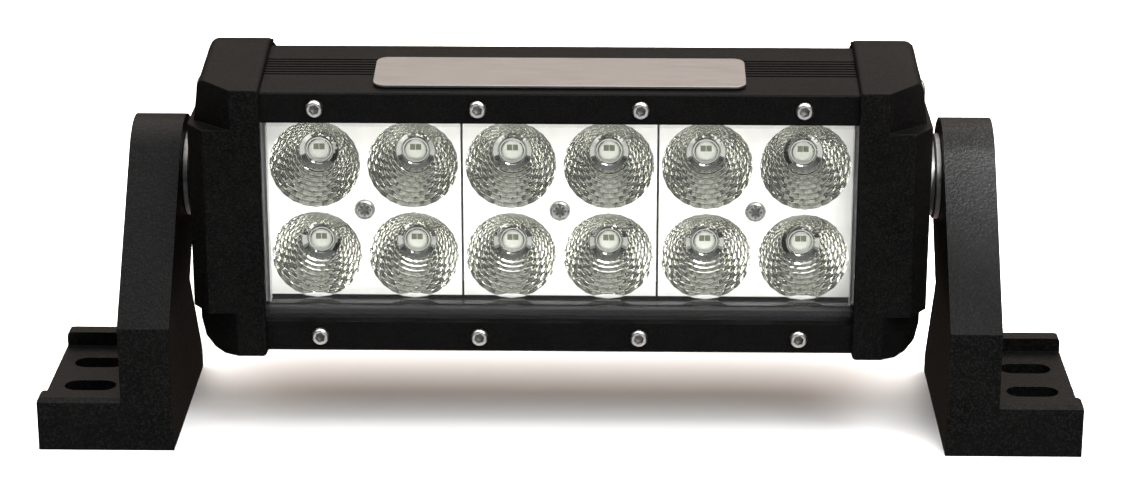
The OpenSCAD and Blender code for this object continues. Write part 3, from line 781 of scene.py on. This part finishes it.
def end_cap(side):
    """The cap with its outer and lip edges well rounded, and every other edge just broken."""
    node = "end_cap_" + side
    bm = cad_copy(node)
    xs = [abs(v.co.x) / MM for v in bm.verts]
    round_chosen(bm, cap_edges(bm, min(xs), -1), CAP_LIP_ROUND, 4)
    round_chosen(bm, cap_edges(bm, max(xs) - CAP_TOP_INSET, 1), CAP_OUTER_ROUND, 5)
    build(node, bm, [coat], bevel=0.3, segments=3, clamp=False)


def lens():
    """The clear tray. The inner faces of its end walls are frosted, with a narrow lip at their feet."""
    bm = cad_copy("lens")
    for face in bm.faces:
        if abs(face.normal.x) > 0.9 and abs(face.calc_center_median().x) < LENS_END_X * MM:
            face.material_index = SECOND
    for side in (-1, 1):
        left, right = sorted((side * LENS_LIP_LOW[0], side * LENS_LIP_HIGH[0]))
        low, high = head_point(left, *LENS_LIP_LOW[1:]), head_point(right, *LENS_LIP_HIGH[1:])
        for face in box_faces(bm, low, high):
            face.material_index = SECOND
    build("lens", bm, [lens_clear, lens_frosted], bevel=0.3)


def bezel_screws():
    """Button heads with hexagon sockets, one row in each strip."""
    bm = bmesh.new()
    low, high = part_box("bezel_screws")
    first, last = low.x / MM + BEZEL_SCREW_R, high.x / MM - BEZEL_SCREW_R
    z = high.z / MM - TILT_Z - BEZEL_SCREW_R
    profile = [(0, 2.2), (1.25, 2.2), (1.25, 0), (2.2, 0), (BEZEL_SCREW_R, -0.1), (BEZEL_SCREW_R, -0.35),
               (2.24, -0.7), (2.1, -1.0), (1.9, -1.22), (1.7, -1.31), (1.5, -1.32), (1.18, -1.3, hexagon),
               (1.12, -1.15, hexagon), (1.1, -0.1, hexagon), (0.5, 0.2), (0, 0.3)]
    for i in range(BEZEL_SCREW_COUNT):
        x = first + (last - first) * i / (BEZEL_SCREW_COUNT - 1)
        for side in (-1, 1):
            screw(bm, head_point(x, 0, side * z), profile, socket_r=1.2)
    build("bezel_screws", bm, [stainless, painted_shade_steel])


def cap_screws(side):
    """Pan heads with hexagon sockets, in the counterbores of a cap."""
    sign = SIDES[side]
    bm = bmesh.new()
    low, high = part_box("end_cap_" + side)
    seat_x = max(abs(low.x), abs(high.x)) / MM - CAP_SCREW_INSET
    profile = [(0, -6), (2, -6), (2, 0), (3.7, 0), (3.8, 0.15), (3.8, 1.4), (3.6, 1.85), (3.1, 2.2),
               (2.5, 2.38), (1.9, 2.4), (1.5, 2.36, hexagon), (1.4, 2.2, hexagon), (1.36, 1.1, hexagon),
               (0.7, 0.9), (0, 0.8)]
    for y, z in CAP_SCREW_YZ:
        lathe(bm, head_point(sign * seat_x, y, z), (sign, 0, 0), profile)
    build("cap_screws_" + side, bm, [stainless])


# ---------------------------------------------------------------- pivots and brackets

BOLT_HEAD_H = 4.5
RING_HOLE_R = 4.2
FOOT_LIP_Z = 14.5
FOOT_LIP_ROUND = 1.8


def pivot(side):
    """The pivot's bolt and its three rings, from the outside in."""
    sign = SIDES[side]
    node = "pivot_bolt_" + side
    low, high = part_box(node)
    seat = max(abs(low.x), abs(high.x)) / MM - BOLT_HEAD_H
    bm = bmesh.new()
    profile = [(0, -20), (3.4, -20), (4, -19.4), (4, 0), (6.8, 0), (7, 0.2), (7, 1.3), (6.7, 2.2),
               (6.1, 3.05), (5.2, 3.85), (4.2, 4.35), (3.5, BOLT_HEAD_H), (2.75, 4.46, hexagon),
               (2.58, 4.3, hexagon), (2.5, 1.9, hexagon), (1.2, 1.5), (0, 1.3)]
    lathe(bm, head_point(sign * seat, TILT_Y, 0), (sign, 0, 0), profile)
    build(node, bm, [stainless])
    ring("bolt_washer_" + side, sign, 8.2, stainless)
    ring("friction_spacer_" + side, sign, 10.5, nylon)
    # the spacer washer's darker steel is painted shade of the gap between arm and cap
    ring("spacer_washer_" + side, sign, 11.5, painted_shade_steel)


def ring(node, sign, outer, material):
    """A washer with broken edges."""
    low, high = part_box(node)
    start, end = sorted((abs(low.x) / MM, abs(high.x) / MM))
    inner = RING_HOLE_R
    thick = end - start
    edge = min(0.25, thick / 4)
    bm = bmesh.new()
    profile = [(inner, edge), (inner + edge, 0), (outer - edge, 0), (outer, edge),
               (outer, thick - edge), (outer - edge, thick), (inner + edge, thick), (inner, thick - edge)]
    lathe(bm, head_point(sign * start, TILT_Y, 0), (sign, 0, 0), profile, segments=64, closed=True)
    build(node, bm, [material])


def bracket(side):
    """The cast foot, with the outer ends of its lips well rounded."""
    node = "bracket_" + side
    bm = cad_copy(node)
    outer = max(abs(v.co.x) for v in bm.verts)
    top = FOOT_LIP_Z * MM
    near = 0.01 * MM
    chosen = []
    for edge in bm.edges:
        on_end = all(abs(abs(v.co.x) - outer) < near for v in edge.verts)
        on_top = all(abs(v.co.z - top) < near for v in edge.verts)
        if on_end and on_top:
            chosen.append(edge)
    round_chosen(bm, chosen, FOOT_LIP_ROUND, 4, clamp=True)
    build(node, bm, [cast_coat], bevel=0.55, segments=3)


# ---------------------------------------------------------------- back of the head


def gland():
    """The cable gland on the back: hexagon, nut with a domed end, and the seal in its mouth."""
    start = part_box("gland_nut")[0].y
    bm = bmesh.new()
    profile = [(6.62, 0), (9.0, 0), (7.85, 0.4, hexagon), (7.95, 0.9, hexagon), (7.95, 6.2, hexagon),
               (7.8, 6.8, hexagon), (8.4, 7.1), (8.35, 9), (8.1, 10.6), (7.5, 12.2), (6.7, 13.4),
               (5.7, 14.1), (4.6, 14.2), (3.85, 13.9), (3.8, 13.2), (5.42, 12), (6.62, 6.9)]
    lathe(bm, Vector((0, start, TILT_Z * MM)), (0, 1, 0), profile, closed=True)
    build("gland_nut", bm, [nylon])
    round_edges("gland_body", nylon, 0.25)
    round_edges("gland_seal", silicone, 0.3)


def breather():
    """A small vent with a knurled cap."""
    low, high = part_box("breather_vent")
    centre = (low + high) / 2
    bm = bmesh.new()
    profile = [(0, -10), (3, -10), (3, -4.6), (5.5, -4.6), (5.6, -4.4), (5.6, -3.4), (5.4, -3.2),
               (4.75, -3.2, knurl), (4.8, -2.9, knurl), (4.8, -0.7, knurl), (4.5, -0.2), (4.1, 0),
               (2.2, 0), (2, -0.3), (0, -0.3)]
    lathe(bm, Vector((centre.x, high.y, centre.z)), (0, 1, 0), profile, segments=96)
    build("breather_vent", bm, [nylon])


# ---------------------------------------------------------------- scene set-up

CAMERA_LENS = 99.1
CAMERA_PLACE = (14.5, -786.4, 322.6)
CAMERA_SIGHT = (-0.0171, 0.9419, -0.3355)
FLOOR_HALF = 6.0
# brightness of the surroundings from straight below to straight above, in bands that show in the chrome
SKY = ((0.0, 1.4), (0.16, 1.4), (0.2, 0.15), (0.34, 0.03), (0.5, 0.05), (0.56, 0.22), (0.68, 0.4),
       (0.76, 0.25), (0.79, 2.2), (0.87, 2.2), (0.9, 0.25), (0.95, 0.25), (0.97, 1.6), (1.0, 1.6))
# its tint from the front to the back
BACK_TINT = ((0.0, (0.5, 0.51, 0.53)), (0.45, (0.7, 0.68, 0.66)), (0.8, (1.5, 1.24, 1.06)),
             (1.0, (1.55, 1.27, 1.07)))
# a fill from the ground in front: its share from the front to the back, and from below to above
GROUND_AHEAD = ((0.0, 0.95), (0.14, 0.9), (0.27, 0.0))
GROUND_BELOW = ((0.0, 1.0), (0.42, 0.95), (0.47, 0.0))


def aim(thing, place, direction):
    """Puts a camera or a light at a place, looking along a direction."""
    turn = Vector(direction).to_track_quat("-Z", "Y").to_matrix().to_4x4()
    thing.matrix_world = Matrix.Translation(place) @ turn


def set_camera():
    """The camera, in front of the bar and above it."""
    data = bpy.data.cameras.new("camera")
    data.lens = CAMERA_LENS
    data.sensor_width = 36.0
    data.clip_start = 0.01
    camera = add_object("camera", data)
    aim(camera, Vector(CAMERA_PLACE) * MM, CAMERA_SIGHT)
    bpy.context.scene.camera = camera


def area_light(name, place, target, size, power):
    """A square light aimed at a target."""
    data = bpy.data.lights.new(name, "AREA")
    data.shape = "RECTANGLE"
    data.size = size
    data.size_y = size
    data.energy = power
    aim(add_object(name, data), place, Vector(target) - Vector(place))


def spot_light(name, place, target, cone, power):
    """A narrow soft-edged light aimed at a target."""
    data = bpy.data.lights.new(name, "SPOT")
    data.energy = power
    data.spot_size = math.radians(cone)
    data.spot_blend = 1.0
    data.shadow_soft_size = 0.03
    aim(add_object(name, data), place, Vector(target) - Vector(place))


def mixed(tree, blend, first, second):
    """Two colours multiplied or added."""
    node = tree.nodes.new("ShaderNodeMix")
    node.data_type = "RGBA"
    node.blend_type = blend
    node.inputs["Factor"].default_value = 1.0
    tree.links.new(first, node.inputs["A"])
    tree.links.new(second, node.inputs["B"])
    return node.outputs["Result"]


def grey_ramp(tree, value, stops):
    """Greys along a value from 0 to 1."""
    return ramp(tree, value, [(place, (level, level, level)) for place, level in stops])


def set_world():
    """A soft studio: bands of light overhead, warm behind, cooler and dim in front, pale below in front."""
    world = bpy.data.worlds.new("studio")
    world.use_nodes = True
    tree = world.node_tree
    place = tree.nodes.new("ShaderNodeTexCoord")
    split = tree.nodes.new("ShaderNodeSeparateXYZ")
    tree.links.new(place.outputs["Generated"], split.inputs["Vector"])
    height = spread(tree, split.outputs["Z"], 0, 1, -1, 1)
    depth = spread(tree, split.outputs["Y"], 0, 1, -1, 1)
    sky = mixed(tree, "MULTIPLY", grey_ramp(tree, height, SKY), ramp(tree, depth, BACK_TINT))
    ground = mixed(tree, "MULTIPLY", grey_ramp(tree, depth, GROUND_AHEAD),
                   grey_ramp(tree, height, GROUND_BELOW))
    tree.links.new(mixed(tree, "ADD", sky, ground), tree.nodes["Background"].inputs["Color"])
    bpy.context.scene.world = world


def add_floor():
    """A plain pale floor, which glossy surfaces don't mirror."""
    edge = FLOOR_HALF
    corners = [(-edge, -edge, 0), (edge, -edge, 0), (edge, edge, 0), (-edge, edge, 0)]
    mesh = bpy.data.meshes.new("floor")
    mesh.from_pydata(corners, [], [(0, 1, 2, 3)])
    material, _, shader = new_material("pale_floor")
    shader.inputs["Base Color"].default_value = (0.92, 0.92, 0.92, 1)
    shader.inputs["Roughness"].default_value = 0.9
    mesh.materials.append(material)
    floor = add_object("floor", mesh)
    floor.visible_glossy = False


def set_studio():
    """The surroundings, the lights and the floor."""
    bpy.context.scene.view_settings.view_transform = "Standard"
    set_world()
    area_light("overhead", (0.1, 0.1, 1.5), (0, 0.1, 0), size=2.4, power=85)
    area_light("front_top", (0.35, -0.7, 0.75), (0, 0, 0.07), size=0.5, power=11)
    spot_light("arm_key", (0.34, -0.45, 0.52), (0.126, 0.0, 0.092), cone=6, power=420)
    add_floor()


set_camera()
set_studio()
paint_frame()
for module, place in MODULES.items():
    reflector(module, place)
reflector_screws()
led_packages()
led_domes()
lens()
bezel_screws()
gland()
breather()
round_edges("housing", coat, 0.16)
round_edges("bezel_strip_top", coat, 0.3, 3)
round_edges("bezel_strip_bottom", coat, 0.3, 3)
round_edges("nameplate", satin_aluminium, 0.22, 3)
for side in SIDES:
    end_cap(side)
    cap_screws(side)
    pivot(side)
    bracket(side)
